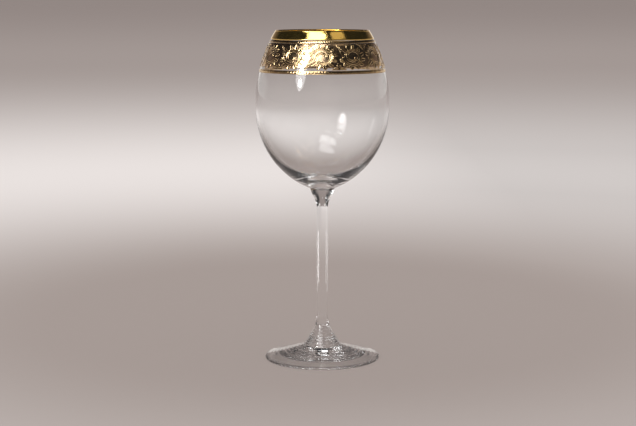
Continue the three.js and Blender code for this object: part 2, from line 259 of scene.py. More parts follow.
def settings():
    """The scene's own sizes."""
    return bpy.context.scene.wine_glass


# Profiles: arrays of radius and height


def bell(distance, spread):
    """A bell of height 1, from the square of the distance over the spread."""
    return np.exp(-((distance / spread) ** 2))


def dome(distance):
    """Half a circle of radius 1, and nothing beyond it."""
    return np.sqrt(np.clip(1 - distance**2, 0, 1))


def run_along(path):
    """Length along a path from its start to each of its points."""
    return np.concatenate([[0], np.cumsum(np.linalg.norm(np.diff(path, axis=0), axis=1))])


def quadratic(start, middle, end, steps):
    """Points on the quadratic Bezier curve of three control points."""
    t = np.linspace(0, 1, steps)[:, None]
    a, b, c = (np.asarray(p, float) for p in (start, middle, end))
    return (1 - t) ** 2 * a + 2 * t * (1 - t) * b + t**2 * c


def bend(start, end, leave, over, arrive, steps):
    """Cubic Bezier curve that leaves start upright and swings over to end.
    The first handle is straight above start, the second at shares of the way across and up."""
    t = np.linspace(0, 1, steps)[:, None]
    a, d = np.asarray(start, float), np.asarray(end, float)
    reach = d - a
    b = a + reach * (0, leave)
    c = a + reach * (over, arrive)
    return (1 - t) ** 3 * a + 3 * t * (1 - t) ** 2 * b + 3 * t**2 * (1 - t) * c + t**3 * d


def swell(belly, belly_radius, end_radius, span, sweep, steps, crowd=1):
    """Ellipse arc that leaves the belly upright. Its radius falls with the cosine of the angle,
    scaled to reach end_radius at the end of the sweep, and its height follows the sine. A power of
    more than 1 crowds the points towards the end."""
    a = sweep * (1 - np.linspace(1, 0, steps) ** crowd)
    radius = end_radius + (belly_radius - end_radius) * (np.cos(a) - math.cos(sweep)) / (1 - math.cos(sweep))
    return np.column_stack([radius, belly + span * np.sin(a) / math.sin(sweep)])


def half_round(radius, height, thickness, start, steps):
    """Half a circle from the angle start, with its middle at radius and height."""
    a = start + np.linspace(0, math.pi, steps)
    return np.column_stack([radius + thickness / 2 * np.cos(a), height + thickness / 2 * np.sin(a)])


def shoulder_span(b):
    """Height from the belly to the middle of the rounded lip."""
    return b.lip - b.lip_wall / 2 - b.belly


def skin(height):
    """Radius of the bowl's outer skin above the belly, at each height."""
    b = settings().bowl
    up = (np.asarray(height, float) - b.belly) / shoulder_span(b) * math.sin(b.shoulder_sweep)
    a = np.arcsin(np.clip(up, -1, 1))
    fall = (np.cos(a) - math.cos(b.shoulder_sweep)) / (1 - math.cos(b.shoulder_sweep))
    return b.lip_radius + (b.belly_radius - b.lip_radius) * fall


def skin_normal(height):
    """Outward direction of the skin as shares of radius and height, from the slope over a short step."""
    step = 1e-4
    slope = (skin(height + step) - skin(height - step)) / (2 * step)
    length = np.hypot(1, slope)
    return 1 / length, -slope / length


def seam_ridge(profile, seam):
    """The profile with a soft bell-shaped ridge where two pieces of glass were fused."""
    s = settings().stem
    off_axis = profile[:, 0] > TOUCHING
    grown = profile.copy()
    grown[:, 0] += s.seam_ridge * bell(profile[:, 1] - seam, s.seam_spread) * off_axis
    return grown


# Meshes


def add_object(name, data):
    """A new object in the scene that holds a mesh, lamp or camera."""
    made = bpy.data.objects.new(name, data)
    bpy.context.scene.collection.objects.link(made)
    return made


def add_piece(name, vertices, faces, nodes, materials, cap_heights=(), starts=()):
    """Makes a smooth closed mesh of faces that point outwards, and rides it on the frame. Faces that
    lie flat on a cap height get the second material. Starts are the faces at which the next one begins."""
    mesh = bpy.data.meshes.new(name)
    mesh.from_pydata(vertices.tolist(), [], faces)
    mesh.validate()
    for material in materials:
        mesh.materials.append(material)
    n = len(mesh.polygons)
    mesh.polygons.foreach_set("use_smooth", np.ones(n, bool))
    if cap_heights:
        centre, normal = np.empty(n * 3), np.empty(n * 3)
        mesh.polygons.foreach_get("center", centre)
        mesh.polygons.foreach_get("normal", normal)
        z, up = centre.reshape(-1, 3)[:, 2], np.abs(normal.reshape(-1, 3)[:, 2])
        flat = np.min(np.abs(z[:, None] - np.asarray(cap_heights)), axis=1) < TOUCHING
        mesh.polygons.foreach_set("material_index", (flat & (up > 0.99)).astype(np.int32))
    if starts:
        passed = np.arange(n)[:, None] >= np.asarray(starts)
        mesh.polygons.foreach_set("material_index", passed.sum(axis=1).astype(np.int32))
    mesh.set_sharp_from_angle(angle=SHARP_EDGE)
    mesh.update()
    piece = add_object(name, mesh)
    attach(piece, "root")
    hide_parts(*nodes)
    return piece


def angles(columns):
    """Even steps once round the axis, as one row."""
    return np.linspace(0, 2 * math.pi, columns, endpoint=False)[None, :]


def grid_faces(rows, sides, closed=False):
    """Quads of a grid of rows of points that run round the axis, with the last row joined to the
    first one if it is closed."""
    i = np.arange(rows if closed else rows - 1)[:, None]
    j = np.arange(sides)[None, :]
    low, high, k = i * sides, (i + 1) % rows * sides, (j + 1) % sides
    return np.stack([low + j, low + k, high + k, high + j], axis=-1).reshape(-1, 4)


def spun(profile, sides):
    """Vertices and faces of a profile spun about the axis. The profile starts and ends on the
    axis, with the outside on its right, and its two end points become single poles."""
    rings = profile[1:-1]
    a = angles(sides)
    poles = np.array([[0, 0, profile[0, 1]], [0, 0, profile[-1, 1]]])
    vertices = np.vstack([around(rings[:, :1], rings[:, 1:], a).reshape(-1, 3), poles])
    first, last = len(rings) * sides, len(rings) * sides + 1
    top = (len(rings) - 1) * sides
    one = np.arange(sides)
    two = (one + 1) % sides
    low_fan = np.stack([two, one, np.full(sides, first)], axis=-1)
    high_fan = np.stack([top + one, top + two, np.full(sides, last)], axis=-1)
    return vertices, grid_faces(len(rings), sides).tolist() + low_fan.tolist() + high_fan.tolist()


def ring(outer, inner):
    """Vertices and faces of a closed ring. Outer and inner are grids of points, one row for each
    step along the section and one column for each step round, and share their first and last rows."""
    loop = np.concatenate([outer, inner[-2:0:-1]], axis=0)
    return loop.reshape(-1, 3), grid_faces(len(loop), outer.shape[1], closed=True).tolist()


def around(radius, height, angle):
    """Points at each radius, height and angle."""
    radius, height, angle = np.broadcast_arrays(radius, height, angle)
    return np.stack([radius * np.cos(angle), radius * np.sin(angle), height], axis=-1)


def spin_glass(node, profile, sides, seams):
    """Spins a profile into a piece of clear glass, whose flat faces at the seams are fused."""
    vertices, faces = spun(profile, sides)
    glass = [clear_glass(), fused_glass()]
    return add_piece(f"{node}_glass", vertices, faces, [node], glass, seams)


def build_bowl():
    """Spins the outer skin, the rounded lip and the hollow. Under the belly the hollow follows the
    skin at a wall's distance, which grows with a power of the depth, down to a dished floor, a
    parabola. A soft maximum joins them: half of the sum of both heights and of the root of their
    squared difference plus a squared fillet."""
    b, s = settings().bowl, settings().stem
    span = shoulder_span(b)
    inner = b.belly_radius - b.belly_wall
    drop, basin_steps, crowd = b.seam - b.belly, 130, 1.6
    basin = swell(b.belly, b.belly_radius, s.boot_radius, drop, b.basin_sweep, basin_steps, crowd)[::-1]
    shoulder = swell(b.belly, b.belly_radius, b.lip_radius, span, b.shoulder_sweep, steps=50)[1:]
    lip = half_round(b.lip_radius - b.lip_wall / 2, b.belly + span, b.lip_wall, start=0, steps=13)[1:-1]
    inside = swell(b.belly, inner, b.lip_radius - b.lip_wall, span, b.shoulder_sweep, steps=50)[::-1]
    depth = (b.belly - basin[::-1, 1]) / (b.belly - b.seam)
    wall = offset(basin[::-1], b.belly_wall + b.basin_gain * depth**b.basin_power)[1:]
    inwards = np.linspace(wall[-1, 0], 0, num=16)[1:]
    centre = np.column_stack([inwards, np.full(len(inwards), wall[-1, 1])])
    hollow = np.vstack([wall, centre])
    floor = b.seam + b.bottom_glass + b.floor_dish * (hollow[:, 0] / inner) ** 2
    gap = hollow[:, 1] - floor
    hollow[:, 1] = (hollow[:, 1] + floor + np.sqrt(gap**2 + b.floor_fillet**2)) / 2
    skin_path = seam_ridge(np.vstack([basin, shoulder, lip, inside, hollow]), b.seam)
    profile = np.vstack([[[0, b.seam]], skin_path])
    return spin_glass("bowl", profile, b.sides, [b.seam])


def build_stem():
    """Spins the ankle, the straight stem and the boot, whose ends are Bezier bends."""
    b, s = settings().bowl, settings().stem
    low = np.array([s.low_radius, s.seam + s.ankle_height])
    ankle = bend(low, (s.ankle_radius, s.seam), leave=0.5, over=0.35, arrive=0.675, steps=24)[::-1]
    high = np.array([s.top_radius, b.seam - s.boot_height])
    straight = low + (high - low) * np.linspace(0, 1, num=30)[1:-1, None]
    boot = bend(high, (s.boot_radius, b.seam), leave=0.45, over=0.8, arrive=0.63, steps=30)
    side = seam_ridge(seam_ridge(np.vstack([ankle, straight, boot]), s.seam), b.seam)
    profile = np.vstack([[[0, s.seam]], side, [[0, b.seam]]])
    return spin_glass("stem", profile, s.sides, [s.seam, b.seam])


def build_foot():
    """Spins the underside, the rounded edge, the plate and the cone. Plate and cone are Bezier
    curves, with shallow rings that follow a cosine of the length along them and fade in over the
    first few. The underside is two Bezier hollows with a bell-shaped groove."""
    f, s = settings().foot, settings().stem
    edge_middle = f.radius - f.edge / 2
    kick_top = f.underside_rise + f.kick_rise
    kick_edge = (f.kick_radius, f.underside_rise)
    kick = quadratic((0, kick_top), (f.kick_radius / 2, kick_top), kick_edge, steps=50)
    inside = edge_middle - f.standing_ring
    dip = ((f.kick_radius + inside) / 2, f.underside_rise * f.hollow_fullness)
    hollow = quadratic(kick_edge, dip, (inside, 0), steps=70)[1:]
    under = np.vstack([kick, hollow])
    under[:, 1] += f.groove * bell(under[:, 0] - f.groove_radius, f.groove_spread)
    edge = half_round(edge_middle, f.edge / 2, f.edge, start=-math.pi / 2, steps=17)
    sag = ((edge_middle + f.cone_radius) / 2, f.edge + (f.cone_base - f.edge) * f.plate_sag)
    cone_foot, calm_rings = (f.cone_radius, f.cone_base), 6
    plate = quadratic((edge_middle, f.edge), sag, cone_foot, steps=120)[1:]
    waist_radius = s.ankle_radius + (f.cone_radius - s.ankle_radius) * f.cone_waist
    waist = (waist_radius, (f.cone_base + s.seam) / 2)
    cone = quadratic(cone_foot, waist, (s.ankle_radius, s.seam), steps=90)[1:]
    top = np.vstack([plate, cone])
    run = run_along(top)
    calm = np.clip(np.minimum(run / calm_rings, run[-1] - run) / f.spin_pitch, 0, 1)
    top = offset(top, -f.spin_depth * calm * (1 - np.cos(2 * math.pi * run / f.spin_pitch)) / 2)
    top = seam_ridge(top, s.seam)
    profile = np.vstack([under, edge, top, [[0, s.seam]]])
    return spin_glass("foot", profile, settings().bowl.sides, [s.seam])


def gilded_shell(name, outer_path, inner_path, nodes, materials, steps):
    """A closed ring of gilding between two paths of radius and height, the inner one against the
    glass. Steps are the points along both paths at which the next material begins."""
    sides = settings().bowl.sides
    a = angles(sides)
    outer = around(outer_path[:, :1], outer_path[:, 1:], a)
    inner = around(inner_path[:, :1], inner_path[:, 1:], a)
    vertices, faces = ring(outer, inner)
    return add_piece(name, vertices, faces, nodes, materials, starts=[k * sides for k in steps])


def offset(path, distances):
    """The path moved to the right of its own direction by one distance for each point."""
    ahead = np.gradient(path, axis=0)
    ahead /= np.linalg.norm(ahead, axis=1)[:, None]
    return path + np.column_stack([ahead[:, 1], -ahead[:, 0]]) * distances[:, None]


def build_lip_band():
    """Carries a thin section over the lip: up the outer skin, round the lip and a little way down
    inside. Its thickness rises from nothing at each edge as the square root of the distance."""
    b, g = settings().bowl, settings().gilding
    z = np.linspace(b.lip - g.band_depth, b.lip - b.lip_wall / 2, num=26)
    outside = np.column_stack([skin(z), z])
    middle = b.lip_radius - b.lip_wall / 2
    lip = half_round(middle, b.lip - b.lip_wall / 2, b.lip_wall, start=0, steps=15)[1:]
    drop = np.linspace(0, g.band_inside, num=7)[1:]
    inside = np.column_stack([np.full(len(drop), lip[-1, 0]), lip[-1, 1] - drop])
    path = np.vstack([outside, lip, inside])
    far = run_along(path)
    near_edge = np.minimum(far, far[-1] - far)
    film = g.film * np.sqrt(np.clip(near_edge / (2 * g.film), 0, 1))
    bite = np.full(len(path), -g.bite)
    outer, inner = offset(path, np.maximum(film, bite)), offset(path, bite)
    outer[[0, -1]] = inner[[0, -1]]
    gold = [fired_gold(), amber_gold(), dull_back()]
    amber_from, back_from = len(outside) + 5, len(path) - 1
    return gilded_shell("lip_gilding", outer, inner, ["lip_band"], gold, [amber_from, back_from])


def band_top():
    """Height of the scroll band's upper edge, under the plain band and the rope line."""
    g = settings().gilding
    return settings().bowl.lip - g.band_depth - 2 * g.spacing - g.upper_line


def raised_line(name, node, top, height, profile, columns, rows):
    """A raised line round the bowl. Profile gives its height, from 0 to 1, from the share up the
    line and the angle round the bowl."""
    g = settings().gilding
    up = np.linspace(0, 1, rows)[:, None]
    a = angles(columns)
    z = top - height + height * up
    lift = g.relief * profile(up, a) - g.bite
    lift[[0, -1]] = -g.bite
    across, along = skin_normal(z)
    outer = around(skin(z) + across * lift, z + along * lift, a)
    inner = around(skin(z) - across * g.bite, z - along * g.bite, a)
    vertices, faces = ring(outer, inner)
    return add_piece(name, vertices, faces, [node], [relief_gold()])


def build_rope_line():
    """A twisted rope: a round crown whose strands are the square root of a cosine that runs round
    the bowl and slants across the line."""
    g, slant, core, strand_height = settings().gilding, 2.2, 0.3, 0.4

    def rope(up, a):
        strand = np.sqrt(np.abs(np.cos(a * g.rope_strands / 2 + slant * (up - 0.5))))
        return dome((up - 0.5) / 0.5) * (core + strand_height * strand)

    top, columns = band_top() + g.spacing + g.upper_line, g.rope_strands * 10
    return raised_line("rope_line_gilding", "upper_bead_line", top, g.upper_line, rope, columns, rows=13)


def build_bead_line():
    """A row of beads between two plain hair lines: each bead is a half ball, from a cosine round
    the bowl and a circle across the line, and each hair line a narrow half round."""
    g, bead_half, hair_place, hair_half = settings().gilding, 0.3, 0.41, 0.09
    bed, bead_height, hair_height = 0.3, 0.35, 0.45

    def beads(up, a):
        row = dome((up - 0.5) / bead_half)
        ball = np.sqrt(np.abs(np.cos(a * g.beads / 2)))
        hair = dome((np.abs(up - 0.5) - hair_place) / hair_half)
        return np.maximum(bed + bead_height * row * ball, hair_height * hair)

    top, columns = band_top() - g.scroll_band - g.spacing, g.beads * 12
    return raised_line("bead_line_gilding", "lower_bead_line", top, g.lower_line, beads, columns, rows=23)


# Scrollwork


def build_ground():
    """Spins a thin satin film over the skin behind the scrollwork, down to a strip of bare glass."""
    g, top = settings().gilding, band_top()
    z = np.linspace(top - g.scroll_band + g.ground_margin, top, num=24)
    path = np.column_stack([skin(z), z])
    bite = np.full(len(z), -g.ground_bite)
    film = np.full(len(z), g.ground_film)
    outer, inner = offset(path, film), offset(path, bite)
    outer[[0, -1]] = inner[[0, -1]]
    gold = [satin_gold(), dull_back()]
    return gilded_shell("ground_gilding", outer, inner, ["ground_band"], gold, [len(z) - 1])


class FlatBand:
    """The scroll band laid flat: along runs round the bowl and up runs up its skin, both from the
    middle of one scroll."""

    def __init__(self):
        g, top = settings().gilding, band_top()
        self.middle = top - g.scroll_band / 2
        self.height = g.scroll_band
        self.radius = float(skin(self.middle))
        run = skin(top) - skin(top - g.scroll_band)
        self.length = float(np.hypot(run, g.scroll_band))
        self.angle = 2 * math.pi / settings().scrolls.scrolls
        self.pitch = self.angle * self.radius
        self.stretch = (self.pitch - g.spacing) / self.length

    def on_skin(self, along, up, out, turned):
        """Points of the band on the bowl, moved out from its skin and turned round the axis."""
        z = self.middle + up * self.height / self.length
        across, rise = skin_normal(z)
        a = along / self.radius - math.pi / 2 + turned
        return around(skin(z) + across * out, z + rise * out, a)


def scroll_form(along, up, band):
    """How far inside a scroll each point lies, and the height of its crest from 0 to 1. The strand is
    a spiral: its distance from the middle shrinks with a power of the angle, and a tail strays off
    with the square of a negative angle. Lobes fill the room between the strand and the cell's
    ellipse, or the strand's own tail, each a slanted sine of the angle with a vein along it."""
    c, g = settings().scrolls, settings().gilding
    half, tip, full = c.strand / 2, c.tip / 2, 2 * math.pi
    first = band.length / 2 - half - c.leaf
    winding = full * c.turns
    vein_place, vein_width, groove_width, border_width = 0.6, 0.1, 0.4 * half, 0.2 * half

    def radius(angle):
        shrink = np.clip(angle / winding, 0, None) ** c.ease
        stray = np.clip(-angle / c.tail_sweep, 0, None) ** 2
        return first + (c.eye - first) * shrink + c.tail_reach * stray

    far = np.hypot(along / band.stretch, up)
    start = np.mod(math.pi - np.arctan2(up, along / band.stretch), full)
    edge = c.eye - half - g.spacing - far
    crest = np.ones(along.shape)
    for lap in range(-1, math.ceil(c.turns)):
        angle = start + full * lap
        away = far - radius(angle)
        outer_lap = radius(angle - full) - half - g.spacing
        limit = np.where(angle < full - c.tail_sweep, band.length / 2, outer_lap)
        room = np.clip(limit - radius(angle) - half, 0, None)
        room = np.where(angle < 0, -c.tail_leaf * angle / c.tail_sweep, room)
        phase = np.mod(c.leaves * angle / full, 1)
        lobe = room * np.sin(math.pi * phase**c.slant) ** c.fullness
        grown = np.clip((angle + c.tail_sweep) / (c.taper * (c.tail_sweep + winding)), 0, 1)
        strand = tip + (half - tip) * grown
        inner = strand + np.where(angle < 0, lobe, 0)
        inside = np.minimum(strand + lobe - away, inner + away)
        inside = np.where((angle > -c.tail_sweep) & (angle < winding), inside, -half)
        veins = bell(phase - vein_place, vein_width) * (np.abs(away) > half)
        border = bell(np.abs(away) - half, border_width)
        cut = np.maximum(np.maximum(veins, bell(away, groove_width)), border)
        crest = np.where(inside > edge, 1 - c.vein * cut, crest)
        edge = np.maximum(edge, inside)
    return edge, crest


def sprig_form(along, up, band):
    """How far inside a sprig each point lies, and the height of its crest from 0 to 1. The sprig
    stands on the band's lower edge and draws in with a power of its height, times a wave that cuts
    its lobes. Each lobe has a vein, and a groove runs up the middle."""
    c = settings().scrolls
    t = np.clip((up + band.length / 2) / c.sprig_height, 0, 1)
    wave = np.sin(math.pi * c.sprig_lobes * t)
    lobes = 1 - c.sprig_notch + c.sprig_notch * np.abs(wave)
    width = c.tip / 2 + c.sprig_width * (1 - t) ** c.sprig_taper * lobes
    inside = np.minimum(width - np.abs(along), c.sprig_height * (1 - t))
    return inside, 1 - c.vein * np.maximum(bell(along, c.tip), 1 - np.abs(wave))


def relief_sheet(form, band, side, half_width, low, high):
    """Vertices along, up and out, and faces, of gilding that fills the area inside a form. Cells of
    a grid that lie mostly inside are kept, and the vertices round their border are moved on to the
    form's edge. The sheet rises from there as a quarter circle over the bevel, times the crest.
    A second sheet in the glass closes the back."""
    c, g = settings().scrolls, settings().gilding
    columns = int(2 * half_width / c.grid) + 1
    rows = int((high - low) / c.grid) + 1
    across, upwards = np.linspace(-half_width, half_width, columns), np.linspace(low, high, rows)
    u, v = np.meshgrid(across, upwards, indexing="ij")
    edge, crest = form(u, v, band)
    inside = edge > 0
    corners = inside[:-1, :-1].astype(int) + inside[1:, :-1] + inside[:-1, 1:] + inside[1:, 1:]
    keep = corners >= 3
    around_vertex = np.zeros(edge.shape, int)
    for i, j in ((0, 0), (1, 0), (0, 1), (1, 1)):
        around_vertex[i : i + columns - 1, j : j + rows - 1] += keep
    border = (around_vertex > 0) & (around_vertex < 4)
    slope = np.hypot(*np.gradient(edge, across, upwards))
    depth = np.clip(edge / np.maximum(slope, 1), 0, c.bevel) / c.bevel
    least_rise, least_slope, step, most = 0.3, 1e-3, c.grid * 0.25, c.grid * 0.4
    rise = np.maximum(dome(1 - depth) * crest, least_rise)
    out = np.where(border, -g.bite, g.scroll_relief * rise - g.bite)

    def inside_by(x, y):
        return form(x, y, band)[0]

    x, y = u[border], v[border]
    for _ in range(2):
        slope_x = (inside_by(x + step, y) - inside_by(x - step, y)) / (2 * step)
        slope_y = (inside_by(x, y + step) - inside_by(x, y - step)) / (2 * step)
        steep = np.maximum(np.hypot(slope_x, slope_y), least_slope)
        move = np.clip(-inside_by(x, y) / steep, -most, most)
        x, y = x + move * slope_x / steep, y + move * slope_y / steep
    u[border], v[border] = x, np.clip(y, low, high)
    used = around_vertex > 0
    front = np.full(edge.shape, -1)
    front[used] = np.arange(used.sum())
    core = used & ~border
    back = front.copy()
    back[core] = used.sum() + np.arange(core.sum())
    along = np.concatenate([u[used], u[core]])
    up = np.concatenate([v[used], v[core]]) * side
    lift = np.concatenate([out[used], np.full(core.sum(), -g.bite)])

    def cells(index):
        corner = [index[:-1, :-1], index[1:, :-1], index[1:, 1:], index[:-1, 1:]]
        return np.stack([k[keep] for k in corner], axis=-1)

    fore, rear = cells(front), cells(back)
    if side < 0:
        fore, rear = fore[:, ::-1], rear[:, ::-1]
    whole_border = border[:-1, :-1] & border[1:, :-1] & border[1:, 1:] & border[:-1, 1:]
    kept = ~whole_border[keep]
    fore, rear = fore[kept], rear[kept]
    return along, up, lift, fore.tolist() + rear[:, ::-1].tolist()


def lay_round(kind, form, band, half_width, low, high, shift):
    """Lays one relief for each scroll round the bowl, every other one upside down, all moved round
    by a share of the step from one scroll to the next."""
    for i in range(settings().scrolls.scrolls):
        side = 1 if i % 2 == 0 else -1
        along, up, out, faces = relief_sheet(form, band, side, half_width, low, high)
        vertices = band.on_skin(along, up, out, (i + shift) * band.angle)
        name = f"{kind}_{i + 1:02d}"
        add_piece(f"{name}_gilding", vertices, faces, [name], [relief_gold()])


def build_scrolls():
    """Lays the scrolls round the bowl."""
    band = FlatBand()
    half_width = band.pitch / 2 + settings().scrolls.tail_leaf
    lay_round("scroll", scroll_form, band, half_width, -band.length / 2, band.length / 2, 0)


def build_sprigs():
    """Lays the leaf sprigs between the scrolls."""
    band, c = FlatBand(), settings().scrolls
    low = -band.length / 2
    lay_round("sprig", sprig_form, band, c.sprig_width + 2 * c.grid, low, low + c.sprig_height, 0.5)


# Materials


def add_node(tree, kind, values=(), **attributes):
    """A new node with some of its attributes and input values set."""
    made = tree.nodes.new(kind)
    for name, value in attributes.items():
        setattr(made, name, value)
    for name, value in dict(values).items():
        made.inputs[name].default_value = value
    return made


def arithmetic(tree, operation, *values):
    """The output of a Math node whose inputs are outputs of other nodes or numbers."""
    made = add_node(tree, "ShaderNodeMath", operation=operation)
    for socket, value in zip(made.inputs, values):
        if isinstance(value, float):
            socket.default_value = value
        else:
            tree.links.new(value, socket)
    return made.outputs[0]


def cloud_group():
    """Node group: soft patches between a low and a high value, from noise on the object."""
    found = bpy.data.node_groups.get("Soft patches")
    if found:
        return found
    tree = bpy.data.node_groups.new("Soft patches", "ShaderNodeTree")
    for name, value in (("Scale", 100.0), ("Detail", 3.0), ("Low", 0.0), ("High", 1.0)):
        tree.interface.new_socket(name, in_out="INPUT", socket_type="NodeSocketFloat").default_value = value
    tree.interface.new_socket("Value", in_out="OUTPUT", socket_type="NodeSocketFloat")
    start = add_node(tree, "NodeGroupInput")
    end = add_node(tree, "NodeGroupOutput")
    place = add_node(tree, "ShaderNodeTexCoord")
    noise = add_node(tree, "ShaderNodeTexNoise", {"Roughness": 0.55})
    spread = add_node(tree, "ShaderNodeMapRange", {"From Min": 0.3, "From Max": 0.7})
    link = tree.links.new
    link(place.outputs["Object"], noise.inputs["Vector"])
    link(start.outputs["Scale"], noise.inputs["Scale"])
    link(start.outputs["Detail"], noise.inputs["Detail"])
    link(noise.outputs["Fac"], spread.inputs["Value"])
    link(start.outputs["Low"], spread.inputs["To Min"])
    link(start.outputs["High"], spread.inputs["To Max"])
    link(spread.outputs["Result"], end.inputs["Value"])
    return tree


def patches(tree, scale, detail, low, high):
    """The soft patches group placed in a material with its own values."""
    values = {"Scale": scale, "Detail": detail, "Low": low, "High": high}
    return add_node(tree, "ShaderNodeGroup", values, node_tree=cloud_group()).outputs["Value"]


def new_material(name):
    """An empty node material, its tree and its Principled shader."""
    material = bpy.data.materials.new(name)
    material.use_nodes = True
    tree = material.node_tree
    tree.nodes.clear()
    shader = add_node(tree, "ShaderNodeBsdfPrincipled")
    output = add_node(tree, "ShaderNodeOutputMaterial")
    tree.links.new(shader.outputs["BSDF"], output.inputs["Surface"])
    return material, tree, shader


def pass_fill(tree, shader):
    """Lets light on its way to dull surfaces straight through the glass, a little dimmed."""
    output = next(n for n in tree.nodes if n.type == "OUTPUT_MATERIAL")
    path = add_node(tree, "ShaderNodeLightPath")
    either = arithmetic(tree, "MAXIMUM", path.outputs["Is Shadow Ray"], path.outputs["Is Diffuse Ray"])
    clear = add_node(tree, "ShaderNodeBsdfTransparent", {"Color": (0.94, 0.94, 0.94, 1)})
    mix = add_node(tree, "ShaderNodeMixShader")
    link = tree.links.new
    link(either, mix.inputs[0])
    link(shader.outputs["BSDF"], mix.inputs[1])
    link(clear.outputs["BSDF"], mix.inputs[2])
    link(mix.outputs[0], output.inputs["Surface"])


def clear_glass():
    """Clear crystal with faint smears in its polish and a very faint ripple."""
    found = bpy.data.materials.get("Clear crystal")
    if found:
        return found
    material, tree, shader = new_material("Clear crystal")
    shader.inputs["IOR"].default_value = 1.5
    shader.inputs["Transmission Weight"].default_value = 1.0
    clean = add_node(tree, "ShaderNodeMix", data_type="RGBA")
    clean.inputs["A"].default_value = (0.996, 0.998, 0.998, 1)
    clean.inputs["B"].default_value = (1.0, 1.0, 1.0, 1)
    link = tree.links.new
    link(patches(tree, 40.0, 2.0, 0.0, 1.0), clean.inputs["Factor"])
    link(clean.outputs["Result"], shader.inputs["Base Color"])
    link(patches(tree, 90.0, 4.0, 0.0, 0.008), shader.inputs["Roughness"])
    ripple = add_node(tree, "ShaderNodeBump", {"Strength": 0.006, "Distance": 0.001})
    link(patches(tree, 30.0, 0.0, 0.0, 1.0), ripple.inputs["Height"])
    link(ripple.outputs["Normal"], shader.inputs["Normal"])
    pass_fill(tree, shader)
    return material


def fused_glass():
    """Glass inside a fused seam, which light crosses without bending."""
    found = bpy.data.materials.get("Fused seam")
    if found:
        return found
    material, _, shader = new_material("Fused seam")
    shader.inputs["Base Color"].default_value = (1, 1, 1, 1)
    shader.inputs["Alpha"].default_value = 0.0
    return material


def metal(name, tones, patch, polish, grain=None):
    """Metal whose tone and roughness vary in soft patches. Patch and polish give the scale, detail,
    low and high of the patches, and grain the strength and scale of a fine bump."""
    found = bpy.data.materials.get(name)
    if found:
        return found
    material, tree, shader = new_material(name)
    shader.inputs["Metallic"].default_value = 1.0
    worn = add_node(tree, "ShaderNodeMix", data_type="RGBA")
    for socket, colour in zip("AB", tones):
        worn.inputs[socket].default_value = (*colour, 1)
    link = tree.links.new
    link(patches(tree, *patch), worn.inputs["Factor"])
    link(worn.outputs["Result"], shader.inputs["Base Color"])
    link(patches(tree, *polish), shader.inputs["Roughness"])
    if grain:
        strength, scale = grain
        bump = add_node(tree, "ShaderNodeBump", {"Strength": strength, "Distance": 0.0003})
        link(patches(tree, scale, 2.0, 0.0, 1.0), bump.inputs["Height"])
        link(bump.outputs["Normal"], shader.inputs["Normal"])
    return material


def fired_gold():
    """Polished fired gold with duller, redder patches and a fine burnished grain."""
    g = settings().stage
    tones = (g.gold, g.dull_gold)
    return metal("Fired gold", tones, (160.0, 4.0, 0.0, 0.4), (260.0, 4.0, 0.04, 0.16), (0.06, 900.0))


def relief_gold():
    """Paler chased gold with brown patches and a rough grain."""
    g = settings().stage
    tones = (g.pale_gold, g.brown_gold)
    return metal("Relief gold", tones, (350.0, 4.0, 0.0, 0.9), (260.0, 4.0, 0.04, 0.14), (0.12, 900.0))


def amber_gold():
    """The gilding inside the lip, a deep amber."""
    g = settings().stage
    return metal("Amber gold", (g.amber, g.dull_gold), (200.0, 3.0, 0.0, 0.5), (300.0, 3.0, 0.15, 0.3))


def dull_back():
    """The back of the gilding, burnt into the glass: dull and brown, with darker patches."""
    g = settings().stage
    tones = (g.burnt_gold, g.ceiling_tone)
    return metal("Dull back", tones, (300.0, 3.0, 0.0, 0.6), (300.0, 3.0, 0.5, 0.65))


def satin_gold():
    """Satin gold with brown patches and a fine stipple."""
    g = settings().stage
    tones = (g.brown_gold, g.satin_tone)
    return metal("Satin gold", tones, (400.0, 3.0, 0.3, 1.0), (300.0, 4.0, 0.12, 0.2), (0.1, 1500.0))


# Stage


def add_ramp(tree, value, stops):
    """A colour ramp on a value, with a colour at each place of its stops."""
    ramp = add_node(tree, "ShaderNodeValToRGB")
    tree.links.new(value, ramp.inputs["Fac"])
    elements = ramp.color_ramp.elements
    while len(elements) < len(stops):
        elements.new(1.0)
    for element, (place, colour) in zip(elements, stops):
        element.position = place
        element.color = (*colour, 1)
    return ramp


def fade(tree, value, start, end):
    """A mask that goes from 0 to 1 as the value goes from start to end."""
    made = add_node(tree, "ShaderNodeMapRange", {"From Min": start, "From Max": end})
    tree.links.new(value, made.inputs["Value"])
    return made.outputs["Result"]


def laid_over(tree, under, colour, mask):
    """A colour laid over another one where the mask is 1."""
    made = add_node(tree, "ShaderNodeMix", data_type="RGBA")
    made.inputs["B"].default_value = (*colour, 1)
    tree.links.new(under, made.inputs["A"])
    tree.links.new(mask, made.inputs["Factor"])
    return made.outputs["Result"]


